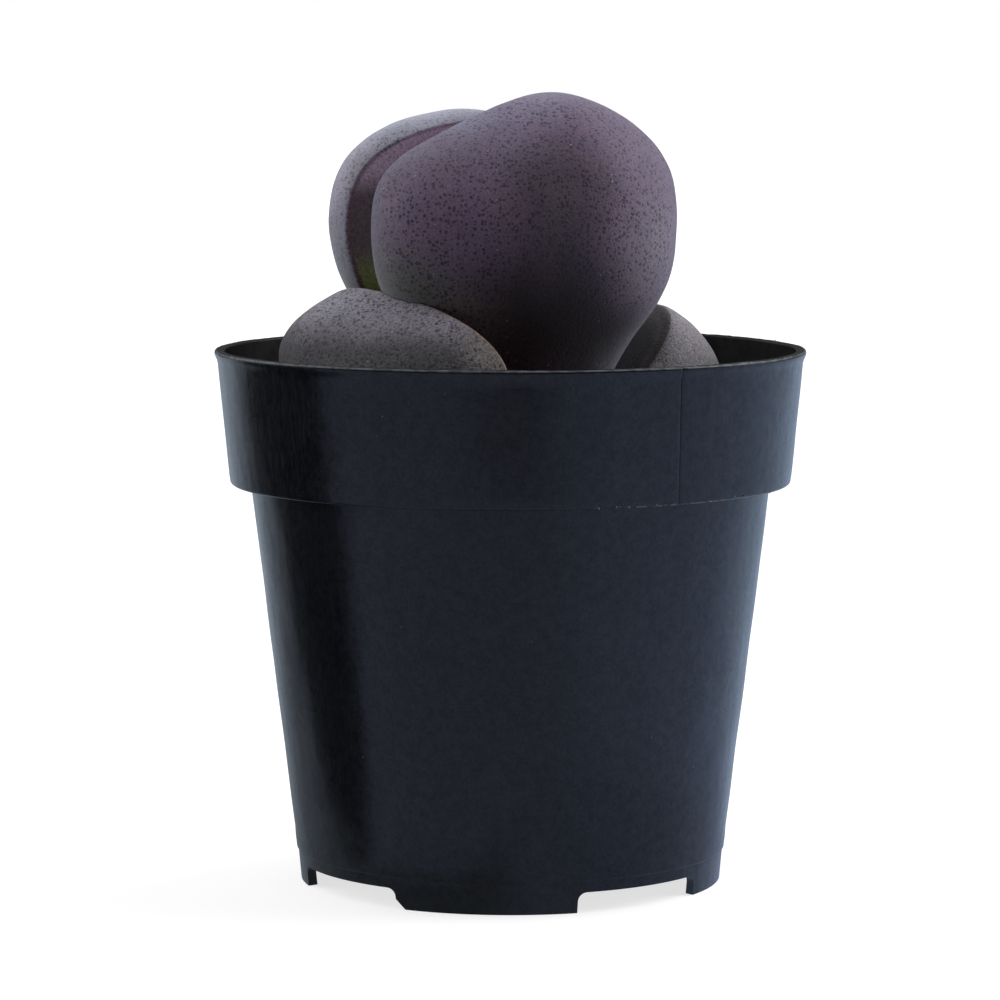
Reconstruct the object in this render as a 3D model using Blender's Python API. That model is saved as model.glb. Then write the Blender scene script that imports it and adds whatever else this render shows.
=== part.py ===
"""A split rock plant (two pairs of stone-like leaves) growing in a round plastic nursery pot.

Seven solids: the pot, the potting mix, the stem with its taproot, an inner pair of leaves
with a fissure between them, and an older outer pair set crosswise, low against the wall.
Metres, +Z up. The pot's axis is the Z axis and its feet stand on Z = 0. The front leaf
looks towards -Y.
"""

import math

import bmesh
import bpy
import numpy as np
from mathutils import Matrix, Vector

MM = 0.001

# ---------------------------------------------------------------- driving dimensions
POT_HEIGHT = 58.6 * MM
RIM_RADIUS = 32.5 * MM
WALL = 0.85 * MM
LIP_HEIGHT = 0.9 * MM            # the rim's bead
LIP_PROUD = 0.3 * MM             # how far that bead stands out from the collar
COLLAR_FOOT_Z = 43.9 * MM        # lower edge of the collar
COLLAR_FOOT_RADIUS = 30.87 * MM
BODY_TOP_RADIUS = 28.6 * MM      # the tapered body where it meets the collar
SKIRT_TOP_Z = 3.55 * MM
SKIRT_TOP_RADIUS = 23.68 * MM
FOOT_STEP = 0.18 * MM            # small step in, from the body to the foot ring
FOOT_RADIUS = 23.2 * MM
FOOT_WALL = 1.1 * MM
FLOOR_UNDERSIDE_Z = 2.6 * MM
FLOOR = 1.0 * MM
ROUNDING = 0.3 * MM              # edges of the moulding

NOTCH_COUNT = 4
NOTCH_WIDTH = 16.1 * MM
NOTCH_HEIGHT = 2.22 * MM
NOTCH_CORNER = 0.9 * MM
NOTCH_FIRST = math.radians(-52)  # azimuth of the first notch
DRAIN_RADIUS = 3.0 * MM
DRAIN_CIRCLE = 15.5 * MM

MIX_LEVEL = 50.4 * MM            # top of the potting mix
MIX_UNEVEN = 0.5 * MM            # height of the two slow waves on it
MIX_WAVES = (6.1 * MM, 7.3 * MM)  # their lengths along X and Y, over tau

GAP = 0.3 * MM                   # clearance that neighbouring solids keep
POT_SEGMENTS = 80
MIX_SEGMENTS = 48
STEM_SEGMENTS = 28
LEAF_CUTS = 10                   # grid lines across each of a leaf's six patches
ARCH = 1.3                       # how far a shoulder's arch spans, in depths of its leaf
NECK_BLEND = 9                   # higher is a sharper edge between bulb and neck

CROWN = np.array([-1.5, 2.2, 51.0]) * MM    # where stem and leaves meet
CROWN_RADIUS = 9.0 * MM
CROWN_WAIST = (0.62, 0.6)        # where the dome turns in: share of its radius, of the drop
ROOT_RADIUS = 3.6 * MM           # the root just under the crown
ROOT_DROP = 9.5 * MM             # how far under the crown's middle the root is that thin
ROOT_TAPER = 0.6                 # the root thins with this power of what is left of it
TAPROOT_TIP_Z = 12.5 * MM


# ---------------------------------------------------------------- helpers
def clear_scene():
    for obj in list(bpy.data.objects):
        bpy.data.objects.remove(obj)


def material(name, colour, roughness, metallic=0.0):
    """A Principled material in one linear colour."""
    made = bpy.data.materials.new(name)
    made.use_nodes = True
    shader = made.node_tree.nodes["Principled BSDF"]
    shader.inputs["Base Color"].default_value = (*colour, 1.0)
    shader.inputs["Roughness"].default_value = roughness
    shader.inputs["Metallic"].default_value = metallic
    return made


def add_mesh(name, bm, surface=None):
    """Turns a bmesh into an object of the scene."""
    mesh = bpy.data.meshes.new(name)
    bm.to_mesh(mesh)
    bm.free()
    mesh.shade_smooth()
    obj = bpy.data.objects.new(name, mesh)
    bpy.context.scene.collection.objects.link(obj)
    if surface:
        mesh.materials.append(surface)
    return obj


def as_cutter(obj):
    obj.hide_render = True
    obj.display_type = "WIRE"
    return obj


def cut(obj, cutter):
    """Takes the cutter's space out of the object."""
    step = obj.modifiers.new("cut_" + cutter.name, "BOOLEAN")
    step.operation = "DIFFERENCE"
    step.solver = "EXACT"
    step.object = as_cutter(cutter)


def arc(centre_r, centre_z, radius, start, end, steps=2):
    """Points of a rounded corner in the (r, z) plane, angles in degrees."""
    angles = [math.radians(start + (end - start) * i / steps) for i in range(steps + 1)]
    return [(centre_r + radius * math.cos(a), centre_z + radius * math.sin(a)) for a in angles]


def turned(name, profile, segments, surface=None, place=(0, 0)):
    """A profile of (r, z) points, top to bottom down its outer side, turned about Z."""
    bm = bmesh.new()
    points = [bm.verts.new((r, 0, z)) for r, z in profile]
    for first, second in zip(points, points[1:]):
        bm.edges.new((first, second))
    obj = add_mesh(name, bm, surface)
    obj.location = (place[0], place[1], 0)
    screw = obj.modifiers.new("turn", "SCREW")
    screw.steps = screw.render_steps = segments
    screw.use_merge_vertices = True
    screw.merge_threshold = 0.001 * MM
    return obj


# ---------------------------------------------------------------- nursery pot
def wall_radius(z):
    """Outer radius of the tapered body."""
    share = (z - SKIRT_TOP_Z) / (COLLAR_FOOT_Z - SKIRT_TOP_Z)
    return SKIRT_TOP_RADIUS + share * (BODY_TOP_RADIUS - SKIRT_TOP_RADIUS)


def collar_radius(z):
    """Outer radius of the collar, under its lip."""
    share = (z - COLLAR_FOOT_Z) / (POT_HEIGHT - LIP_HEIGHT - COLLAR_FOOT_Z)
    return COLLAR_FOOT_RADIUS + share * (RIM_RADIUS - LIP_PROUD - COLLAR_FOOT_RADIUS)


def inner_wall():
    """The pot's inside as (r, z) points, from the floor to the rim."""
    floor_top = FLOOR_UNDERSIDE_Z + FLOOR
    ledge_top = COLLAR_FOOT_Z + WALL
    corner = 1.2 * MM
    foot_r = wall_radius(floor_top + corner) - WALL
    return [
        *arc(foot_r - corner, floor_top + corner, corner, -90, 0),
        (wall_radius(COLLAR_FOOT_Z - WALL) - WALL, COLLAR_FOOT_Z - WALL),
        (BODY_TOP_RADIUS - WALL / 2, ledge_top),
        (collar_radius(ledge_top) - WALL, ledge_top + ROUNDING),
    ]


def make_pot(surface):
    lip_bottom = POT_HEIGHT - LIP_HEIGHT
    skirt_radius = SKIRT_TOP_RADIUS - FOOT_STEP
    profile = [
        (0, FLOOR_UNDERSIDE_Z + FLOOR),
        *inner_wall(),
        *arc(RIM_RADIUS - WALL - LIP_PROUD + ROUNDING, POT_HEIGHT - ROUNDING, ROUNDING, 180, 90),
        *arc(RIM_RADIUS - ROUNDING, POT_HEIGHT - ROUNDING, ROUNDING, 90, 0),
        (RIM_RADIUS, lip_bottom + LIP_PROUD),
        (collar_radius(lip_bottom), lip_bottom),
        *arc(COLLAR_FOOT_RADIUS - ROUNDING, COLLAR_FOOT_Z + ROUNDING, ROUNDING, 0, -90),
        (BODY_TOP_RADIUS, COLLAR_FOOT_Z),
        (SKIRT_TOP_RADIUS, SKIRT_TOP_Z),
        (skirt_radius, SKIRT_TOP_Z - FOOT_STEP),
        (FOOT_RADIUS, 0),
        (FOOT_RADIUS - FOOT_WALL, 0),
        (skirt_radius - FOOT_WALL, FLOOR_UNDERSIDE_Z),
        (0, FLOOR_UNDERSIDE_Z),
    ]
    pot = turned("nursery_pot", profile, POT_SEGMENTS, surface)
    for i in range(NOTCH_COUNT):
        azimuth = NOTCH_FIRST + math.tau * i / NOTCH_COUNT
        cut(pot, make_notch_cutter(i, azimuth))
        centre = (DRAIN_CIRCLE * math.cos(azimuth), DRAIN_CIRCLE * math.sin(azimuth))
        cut(pot, make_drain_cutter(i, centre))
    cut(pot, make_drain_cutter(NOTCH_COUNT, (0, 0)))


def make_notch_cutter(number, azimuth):
    """A block across the foot ring with rounded upper corners."""
    depth = 5 * MM
    below = 2 * MM
    height = NOTCH_HEIGHT + below
    bm = bmesh.new()
    bmesh.ops.create_cube(bm, size=1)
    bmesh.ops.scale(bm, vec=(depth, NOTCH_WIDTH, height), verts=bm.verts)
    top_edges = [
        edge for edge in bm.edges
        if all(v.co.z > 0 for v in edge.verts) and abs(edge.verts[0].co.y - edge.verts[1].co.y) < MM
    ]
    bmesh.ops.bevel(bm, geom=top_edges, offset=NOTCH_CORNER, segments=4, profile=0.5, affect="EDGES")
    bmesh.ops.translate(bm, vec=(FOOT_RADIUS - FOOT_WALL / 2, 0, NOTCH_HEIGHT - height / 2), verts=bm.verts)
    bmesh.ops.rotate(bm, matrix=Matrix.Rotation(azimuth, 3, "Z"), verts=bm.verts)
    return add_mesh(f"notch_{number}", bm)


def make_drain_cutter(number, centre):
    bm = bmesh.new()
    bmesh.ops.create_cone(
        bm, cap_ends=True, segments=20, radius1=DRAIN_RADIUS, radius2=DRAIN_RADIUS, depth=4 * MM
    )
    bmesh.ops.translate(bm, vec=(*centre, FLOOR_UNDERSIDE_Z + FLOOR / 2), verts=bm.verts)
    return add_mesh(f"drain_{number}", bm)


# ---------------------------------------------------------------- leaves
class Leaf:
    """A succulent leaf as a distance from its centre in every direction.

    The body is a bulb, cut by a flat inner face and by soft shoulders. Each of these is a
    distance of its own, and a high power mean rounds the edges between them. A tapered
    neck runs from the bulb to the crown.
    """

    def __init__(self, name, centre, facing, lean, roll, half_widths, depth, flat, heights,
                 powers, rounding, crease, shoulders, neck):
        self.name = name
        self.centre = np.array(centre) * MM
        self.half_widths = np.array(half_widths) * MM   # towards +side, towards -side
        self.depth = depth * MM                         # centre to the domed outer face
        self.flat = flat * MM                           # centre to the flat inner face
        self.heights = np.array(heights) * MM           # centre to the tip, to the bottom
        self.powers = powers                            # plan, upper half, lower half
        self.rounding = rounding                        # higher is a sharper shoulder
        self.crease = crease                            # the same for the flat face's edge
        self.shoulders = shoulders      # (tilt sideways, slope outward in degrees, distance in mm)
        self.neck_length, self.neck_taper = neck[0] * MM, neck[1]   # towards the crown
        self.axes = self.own_axes(math.radians(facing), math.radians(lean), math.radians(roll))

    @staticmethod
    def own_axes(facing, lean, roll):
        """Rows: outward normal, side and up, leaned outward and rolled about the normal."""
        outward = np.array([math.cos(facing), math.sin(facing), 0])
        side = np.array([-math.sin(facing), math.cos(facing), 0])
        up = np.array([0, 0, 1])
        normal = math.cos(lean) * outward - math.sin(lean) * up
        along = math.sin(lean) * outward + math.cos(lean) * up
        return np.array([
            normal,
            math.cos(roll) * side + math.sin(roll) * along,
            math.cos(roll) * along - math.sin(roll) * side,
        ])

    def reach(self, directions):
        """Distance from the centre to the skin, for rows of world unit directions."""
        n, t, z = (directions @ self.axes.T).T
        plan, upper, lower = self.powers
        half_width = np.where(t > 0, *self.half_widths)
        height = np.where(z > 0, *self.heights)
        power = np.where(z > 0, upper, lower)
        ring = (np.abs(n / self.depth) ** plan + np.abs(t / half_width) ** plan) ** (1 / plan)
        bulb = (ring ** power + np.abs(z / height) ** power) ** (1 / power)
        nearness = bulb ** self.rounding
        for tilt, slope, distance in self.shoulders:
            a, b = math.radians(tilt), math.radians(slope)
            across = math.cos(a) * z - math.sin(a) * t
            towards = math.cos(b) * across + math.sin(b) * n
            along = math.cos(b) * n - math.sin(b) * across
            arch = np.hypot(np.maximum(towards, 0) / (distance * MM), along / (ARCH * self.depth))
            nearness += arch ** self.rounding
        dome = nearness ** (1 / self.rounding)
        flat = np.maximum(-n, 0) / self.flat
        body = (dome ** self.crease + flat ** self.crease) ** (-1 / self.crease)
        to_crown = CROWN - self.centre
        to_crown = to_crown / np.linalg.norm(to_crown)
        neck = self.neck_length * np.maximum(directions @ to_crown, 0) ** self.neck_taper
        return (body ** NECK_BLEND + neck ** NECK_BLEND) ** (1 / NECK_BLEND)

    def mesh(self, swell=0.0):
        """The skin as six square patches blown up onto the leaf, all faces outward."""
        bm = bmesh.new()
        bmesh.ops.create_cube(bm, size=2)
        bmesh.ops.subdivide_edges(bm, edges=bm.edges, cuts=LEAF_CUTS, use_grid_fill=True)
        cube = np.array([v.co for v in bm.verts])
        spread = np.tan(cube * math.pi / 4)
        own = spread / np.linalg.norm(spread, axis=1, keepdims=True)
        directions = own @ self.axes
        points = self.centre + directions * self.reach(directions)[:, None]
        for vert, point in zip(bm.verts, points):
            vert.co = Vector(point)
        bmesh.ops.recalc_face_normals(bm, faces=bm.faces)
        bm.normal_update()
        for vert in bm.verts:
            vert.co += vert.normal * swell
        # The same diagonals in every copy, so that a swollen copy holds the plain one.
        bmesh.ops.triangulate(bm, faces=bm.faces, quad_method="FIXED")
        return bm


OUTER_LEFT = Leaf(
    "outer_leaf_left", centre=(-10.45, -12.9, 58.8), facing=213.8, lean=24.2, roll=-9.4,
    half_widths=(14.9, 17.2), depth=11.9, flat=2.1, heights=(5.8, 12.5),
    powers=(2.41, 2.41, 2.0), rounding=8.0, crease=8.0, shoulders=[], neck=(15.5, 6),
)
OUTER_RIGHT = Leaf(
    "outer_leaf_right", centre=(13.0, 8.8, 53.4), facing=28.1, lean=42.1, roll=-5.3,
    half_widths=(13.4, 10.8), depth=10.2, flat=4.6, heights=(9.7, 12.0),
    powers=(2.16, 2.4, 2.0), rounding=9.0, crease=9.0, shoulders=[], neck=(10.5, 6),
)
INNER_FRONT = Leaf(
    "inner_leaf_front", centre=(2.7, -5.2, 73.7), facing=-62.0, lean=8.8, roll=6.0,
    half_widths=(16.0, 18.9), depth=12.7, flat=5.1, heights=(18.05, 17.1),
    powers=(2.13, 2.0, 2.43), rounding=8.2, crease=10.0,
    shoulders=[(16.9, 16, 11.2), (-29.5, 16, 13.8)], neck=(26.4, 1.5),
)
INNER_BACK = Leaf(
    "inner_leaf_back", centre=(-4.3, 8.8, 73.15), facing=105.0, lean=-7.3, roll=-4.5,
    half_widths=(17.7, 17.2), depth=11.4, flat=2.85, heights=(11.7, 20.4),
    powers=(2.07, 2.06, 1.59), rounding=8.0, crease=16.0,
    shoulders=[(42.4, 16, 11.6), (-86.1, 0, 17.55)], neck=(20.5, 6),
)
# The older a leaf, the firmer it is set: a younger one gives way where they press together.
LEAVES = [OUTER_LEFT, OUTER_RIGHT, INNER_FRONT, INNER_BACK]


def make_leaves(surfaces):
    for number, leaf in enumerate(LEAVES):
        obj = add_mesh(leaf.name, leaf.mesh(), surfaces[number])
        for older in LEAVES[:number]:
            cut(obj, add_mesh(f"room_for_{older.name}_in_{leaf.name}", older.mesh(GAP)))


# ---------------------------------------------------------------- stem and taproot
def stem_profile(swell=0.0):
    """Crown dome, neck and taproot as (r, z) points; the swell makes the hole it sits in."""
    middle = CROWN[2]
    dome = arc(0, middle, CROWN_RADIUS + swell, 90, 0, 6)
    root_top = middle - ROOT_DROP
    waist = (CROWN_WAIST[0] * CROWN_RADIUS + swell, middle - CROWN_WAIST[1] * ROOT_DROP)
    root = []
    for share in (0.0, 0.3, 0.6, 0.85, 0.97):
        thickness = ROOT_RADIUS * (1 - share) ** ROOT_TAPER
        root.append((thickness + swell, root_top + share * (TAPROOT_TIP_Z - root_top)))
    return [(0, middle + CROWN_RADIUS + swell), *dome[1:], waist, *root, (0, TAPROOT_TIP_Z - swell)]


def make_stem(surface):
    stem = turned("stem_and_taproot", stem_profile(), STEM_SEGMENTS, surface, place=CROWN[:2])
    for leaf in LEAVES:
        cut(stem, add_mesh(f"room_for_{leaf.name}_in_stem", leaf.mesh(GAP)))


# ---------------------------------------------------------------- potting mix
def mix_height(x, y):
    """The uneven top of the mix, as two slow waves."""
    along_x, along_y = MIX_WAVES
    return MIX_LEVEL + MIX_UNEVEN * math.sin(x / along_x) * math.cos(y / along_y)


def make_potting_mix(surface):
    """Fills the pot from its floor, and stays clear of the wall, the leaves and the root."""
    side = [(r - GAP, z + GAP) for r, z in inner_wall()]
    brim = collar_radius(MIX_LEVEL) - WALL - GAP
    rings = 5
    top = [(brim * i / rings, MIX_LEVEL) for i in range(1, rings + 1)]
    profile = [(0, MIX_LEVEL), *top, *reversed(side), (0, side[0][1])]
    mix = turned("potting_mix", profile, MIX_SEGMENTS, surface)
    bpy.context.view_layer.update()
    graph = bpy.context.evaluated_depsgraph_get()
    turned_mesh = bpy.data.meshes.new_from_object(mix.evaluated_get(graph))
    mix.modifiers.clear()
    mix.data = turned_mesh
    for vert in turned_mesh.vertices:
        if vert.co.z > MIX_LEVEL - MIX_UNEVEN:
            vert.co.z = mix_height(vert.co.x, vert.co.y)
    for leaf in LEAVES:
        cut(mix, add_mesh(f"room_for_{leaf.name}_in_mix", leaf.mesh(GAP)))
    cut(mix, turned("room_for_stem", stem_profile(GAP), STEM_SEGMENTS, place=CROWN[:2]))


def main():
    clear_scene()
    make_pot(material("pot_plastic", (0.010, 0.012, 0.018), 0.4))
    make_leaves([
        material("outer_leaf_left_skin", (0.085, 0.075, 0.085), 0.6),
        material("outer_leaf_right_skin", (0.060, 0.055, 0.052), 0.6),
        material("inner_leaf_front_skin", (0.070, 0.055, 0.075), 0.55),
        material("inner_leaf_back_skin", (0.075, 0.050, 0.078), 0.55),
    ])
    make_stem(material("stem_bark", (0.085, 0.060, 0.040), 0.8))
    make_potting_mix(material("potting_mix", (0.045, 0.032, 0.022), 0.95))


main()
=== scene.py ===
# %% [markdown]
# # A split rock in its nursery pot
#
# The plant is a stone mimic: two pairs of thick leaves, each pair set across the other, with a
# fissure between the two young ones. It grows in a plain black moulded pot. A CAD model of it
# exists already and gives every size. This lesson dresses that model: each step makes one
# visible piece with a fine mesh and a finish of its own, and hangs it on the model's one body.

# %% Load the model and keep its box
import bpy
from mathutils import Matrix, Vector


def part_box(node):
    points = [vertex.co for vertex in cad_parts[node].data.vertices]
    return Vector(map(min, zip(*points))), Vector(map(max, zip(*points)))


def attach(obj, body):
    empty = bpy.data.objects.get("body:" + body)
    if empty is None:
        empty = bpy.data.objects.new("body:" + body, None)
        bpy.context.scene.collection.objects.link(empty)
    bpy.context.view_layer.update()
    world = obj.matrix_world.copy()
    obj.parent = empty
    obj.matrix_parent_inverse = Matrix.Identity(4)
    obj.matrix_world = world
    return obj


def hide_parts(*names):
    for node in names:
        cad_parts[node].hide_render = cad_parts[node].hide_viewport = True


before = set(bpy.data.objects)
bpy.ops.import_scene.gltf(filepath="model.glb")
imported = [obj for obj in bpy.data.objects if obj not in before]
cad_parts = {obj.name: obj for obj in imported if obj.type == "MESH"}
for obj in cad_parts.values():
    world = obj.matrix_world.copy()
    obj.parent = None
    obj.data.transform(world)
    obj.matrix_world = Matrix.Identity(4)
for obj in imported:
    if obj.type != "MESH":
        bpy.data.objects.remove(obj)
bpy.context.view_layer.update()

import math

import bmesh
import bpy
import numpy as np
from mathutils import Matrix, Vector, noise

MM = 0.001
pot_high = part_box("nursery_pot")[1]
print("pot is", round(pot_high.x * 2 / MM, 1), "mm across and", round(pot_high.z / MM, 1), "mm high")

# %% [markdown]
# ## Writing node trees as sums
#
# Materials and Geometry Nodes are both trees of nodes. Clicking them together is slow to read
# back, so a small class wraps a socket: an operator such as + or * adds the Math node it
# stands for, and one method adds any other node from its type, its settings and its inputs.

# %% A socket that does sums
def connect(tree, value, socket):
    """Feeds a socket from a link, a colour or a plain number."""
    if isinstance(value, Value):
        tree.links.new(value.socket, socket)
    elif isinstance(value, tuple) and socket.type == "RGBA":
        socket.default_value = (*value[:3], 1.0)
    else:
        socket.default_value = value


class Value:
    """The output of a node, which takes part in sums."""

    def __init__(self, tree, socket):
        self.tree = tree
        self.socket = socket

    def out(self, name):
        """Another output of the same node."""
        return Value(self.tree, self.socket.node.outputs[name])

    def calculate(self, operation, first, second=0.0):
        """A Math node on two values, either of which may be a plain number."""
        node = self.tree.nodes.new("ShaderNodeMath")
        node.operation = operation
        connect(self.tree, first, node.inputs[0])
        connect(self.tree, second, node.inputs[1])
        return Value(self.tree, node.outputs[0])

    def __add__(self, other):
        return self.calculate("ADD", self, other)

    def __sub__(self, other):
        return self.calculate("SUBTRACT", self, other)

    def __rsub__(self, other):
        return self.calculate("SUBTRACT", other, self)

    def __mul__(self, other):
        return self.calculate("MULTIPLY", self, other)

    def __truediv__(self, other):
        return self.calculate("DIVIDE", self, other)

    def __pow__(self, other):
        return self.calculate("POWER", self, other)

    __radd__ = __add__
    __rmul__ = __mul__


class Tree:
    """A node tree, shader or geometry, with one method that adds any node and one for ramps."""

    def __init__(self, tree):
        self.tree = tree

    def node(self, kind, settings=(), inputs=(), output=0):
        made = self.tree.nodes.new(kind)
        for name, value in dict(settings).items():
            setattr(made, name, value)
        for key, value in dict(inputs).items():
            connect(self.tree, value, made.inputs[key])
        return Value(self.tree, made.outputs[output]) if len(made.outputs) else made

    def ramp(self, value, low, high):
        """0 below low, 1 above high, and a soft step between."""
        if low > high:
            return 1 - self.ramp(value, high, low)
        inputs = {"Value": value, "From Min": low, "From Max": high}
        return self.node("ShaderNodeMapRange", {"interpolation_type": "SMOOTHSTEP"}, inputs)


# %% [markdown]
# ## Finishes
#
# Every finish starts from a Principled shader. What is the same all over, such as the sheen of
# a waxy leaf, is set on the shader's own socket. What changes over the surface is a sum of
# noises, cells and zones in Object coordinates, so it stays where it is when the part moves.

# %% A material with short names for its usual nodes
class Finish(Tree):
    def __init__(self, name, constants=()):
        self.material = bpy.data.materials.new(name)
        self.material.use_nodes = True
        super().__init__(self.material.node_tree)
        self.shader = self.tree.nodes["Principled BSDF"]
        for socket, value in dict(constants).items():
            connect(self.tree, value, self.shader.inputs[socket])
        self.place = self.node("ShaderNodeTexCoord").out("Object")

    def feed(self, socket, value):
        connect(self.tree, value, self.shader.inputs[socket])

    def attribute(self, name):
        return self.node("ShaderNodeAttribute", {"attribute_name": name}).out("Fac")

    def axis(self, letter):
        """One coordinate, in millimetres."""
        return self.node("ShaderNodeSeparateXYZ", inputs={0: self.place}).out(letter) / MM

    def azimuth(self):
        """The angle around the pot's axis, in degrees."""
        y = self.axis("Y")
        return y.calculate("ARCTAN2", y, self.axis("X")) * math.degrees(1)

    def moved(self, shift=(0, 0, 0), stretch=(1, 1, 1)):
        """The coordinates with a pattern moved in mm and stretched along its axes."""
        scale = tuple(1 / s for s in stretch)
        place = tuple(s * MM for s in shift)
        return self.node("ShaderNodeMapping", inputs={0: self.place, 1: place, 3: scale})

    def noise(self, size, detail=3.0, shift=(0, 0, 0), stretch=(1, 1, 1), rough=0.5):
        """Cloudy pattern around 0.5 with patches of about this size in mm."""
        inputs = {"Vector": self.moved(shift, stretch), "Scale": 1 / (size * MM), "Detail": detail,
                  "Roughness": rough}
        return self.node("ShaderNodeTexNoise", {"noise_dimensions": "3D"}, inputs)

    def spots(self, spacing, radius, spread=0.4, shift=(0, 0, 0), soft=0.08, stretch=(1, 1, 1)):
        """Round spots, one in each cell of this spacing in mm; the radius is a share of it."""
        inputs = {"Vector": self.moved(shift, stretch), "Scale": 1 / (spacing * MM), "Randomness": 1.0}
        cells = self.node("ShaderNodeTexVoronoi", {"voronoi_dimensions": "3D"}, inputs)
        chance = self.node("ShaderNodeSeparateColor", inputs={0: cells.out("Color")})
        reach = radius * (1 - spread) + chance * (2 * radius * spread)
        return self.ramp(reach - cells.out("Distance"), 0.0, soft)

    def near(self, point, inner, outer):
        """1 within the inner distance of a point, 0 beyond the outer one, in mm."""
        target = tuple(c * MM for c in point)
        gap = self.node("ShaderNodeVectorMath", {"operation": "DISTANCE"}, {0: self.place, 1: target},
                        "Value")
        return self.ramp(gap / MM, outer, inner)

    def mix(self, share, first, second, blend="MIX"):
        """From the first colour to the second."""
        settings = {"data_type": "RGBA", "blend_type": blend}
        return self.node("ShaderNodeMix", settings, {0: share, 6: first, 7: second}, 2)

    def bump(self, height, distance, strength=1.0, normal=None):
        """Relief from a height of 0 to 1, reaching as far as the distance in mm."""
        inputs = {"Height": height, "Distance": distance * MM, "Strength": strength}
        if normal:
            inputs["Normal"] = normal
        return self.node("ShaderNodeBump", inputs=inputs)


# %% [markdown]
# ## Putting a piece in place
#
# A piece's mesh is made where the piece is, so its object stays at the origin. It rides on the
# model's one body and stands for the CAD node it covers.

# %% Helpers for pieces
def mesh_from(name, points, faces):
    mesh = bpy.data.meshes.new(name)
    mesh.from_pydata(points, [], faces)
    return mesh


def mesh_of(name, bm):
    """Keeps what BMesh has built."""
    mesh = bpy.data.meshes.new(name)
    bm.to_mesh(mesh)
    bm.free()
    return mesh


def in_scene(name, data):
    made = bpy.data.objects.new(name, data)
    bpy.context.scene.collection.objects.link(made)
    return made


def add_piece(name, mesh, finish, node=None, sharp=None):
    """Shows a mesh as a piece of the plant or its pot."""
    mesh.materials.clear()
    mesh.materials.append(finish.material)
    mesh.shade_smooth()
    if sharp:
        mesh.set_sharp_from_angle(angle=math.radians(sharp))
    piece = in_scene(name, mesh)
    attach(piece, "root")
    if node:
        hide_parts(node)
    print(name, "has", sum(len(p.vertices) - 2 for p in mesh.polygons), "triangles")
    return piece


def paint(mesh, name, values):
    """Keeps one number per vertex, for the finish to read."""
    attribute = mesh.attributes.new(name, "FLOAT", "POINT")
    attribute.data.foreach_set("value", np.asarray(values, np.float32))


def ripple(points, size, amount, seed=0):
    """Slow unevenness for rows of points: a number each, up to the amount in mm."""
    shift = Vector((seed * 17.3, seed * 5.1, seed * 9.7))
    return np.array([noise.noise(Vector(p) / (size * MM) + shift) for p in points]) * amount * MM


# %% [markdown]
# ## The leaves' shape
#
# A leaf of this plant is half an egg: a domed outside, a flat inside where it lay against its
# twin, and a tapered neck that grows out of the crown. Sculpting would do, but a rule is
# exact and can be refined at will: the leaf is the distance from its centre to its skin in
# every direction. A bulb, a flat face and soft shoulders each give a distance, and a high power
# mean rounds the edges between them. The same rule also tells whether a point is inside a
# leaf, which is how a young leaf can be made to give way to an older one it presses on.

# %% A leaf as a distance in every direction
ARCH = 1.3
NECK_BLEND = 9
CROWN = np.array([-1.5, 2.2, 51.0]) * MM


def rows_to_unit(rows):
    lengths = np.linalg.norm(rows, axis=1, keepdims=True)
    return rows / lengths, lengths[:, 0]


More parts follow.
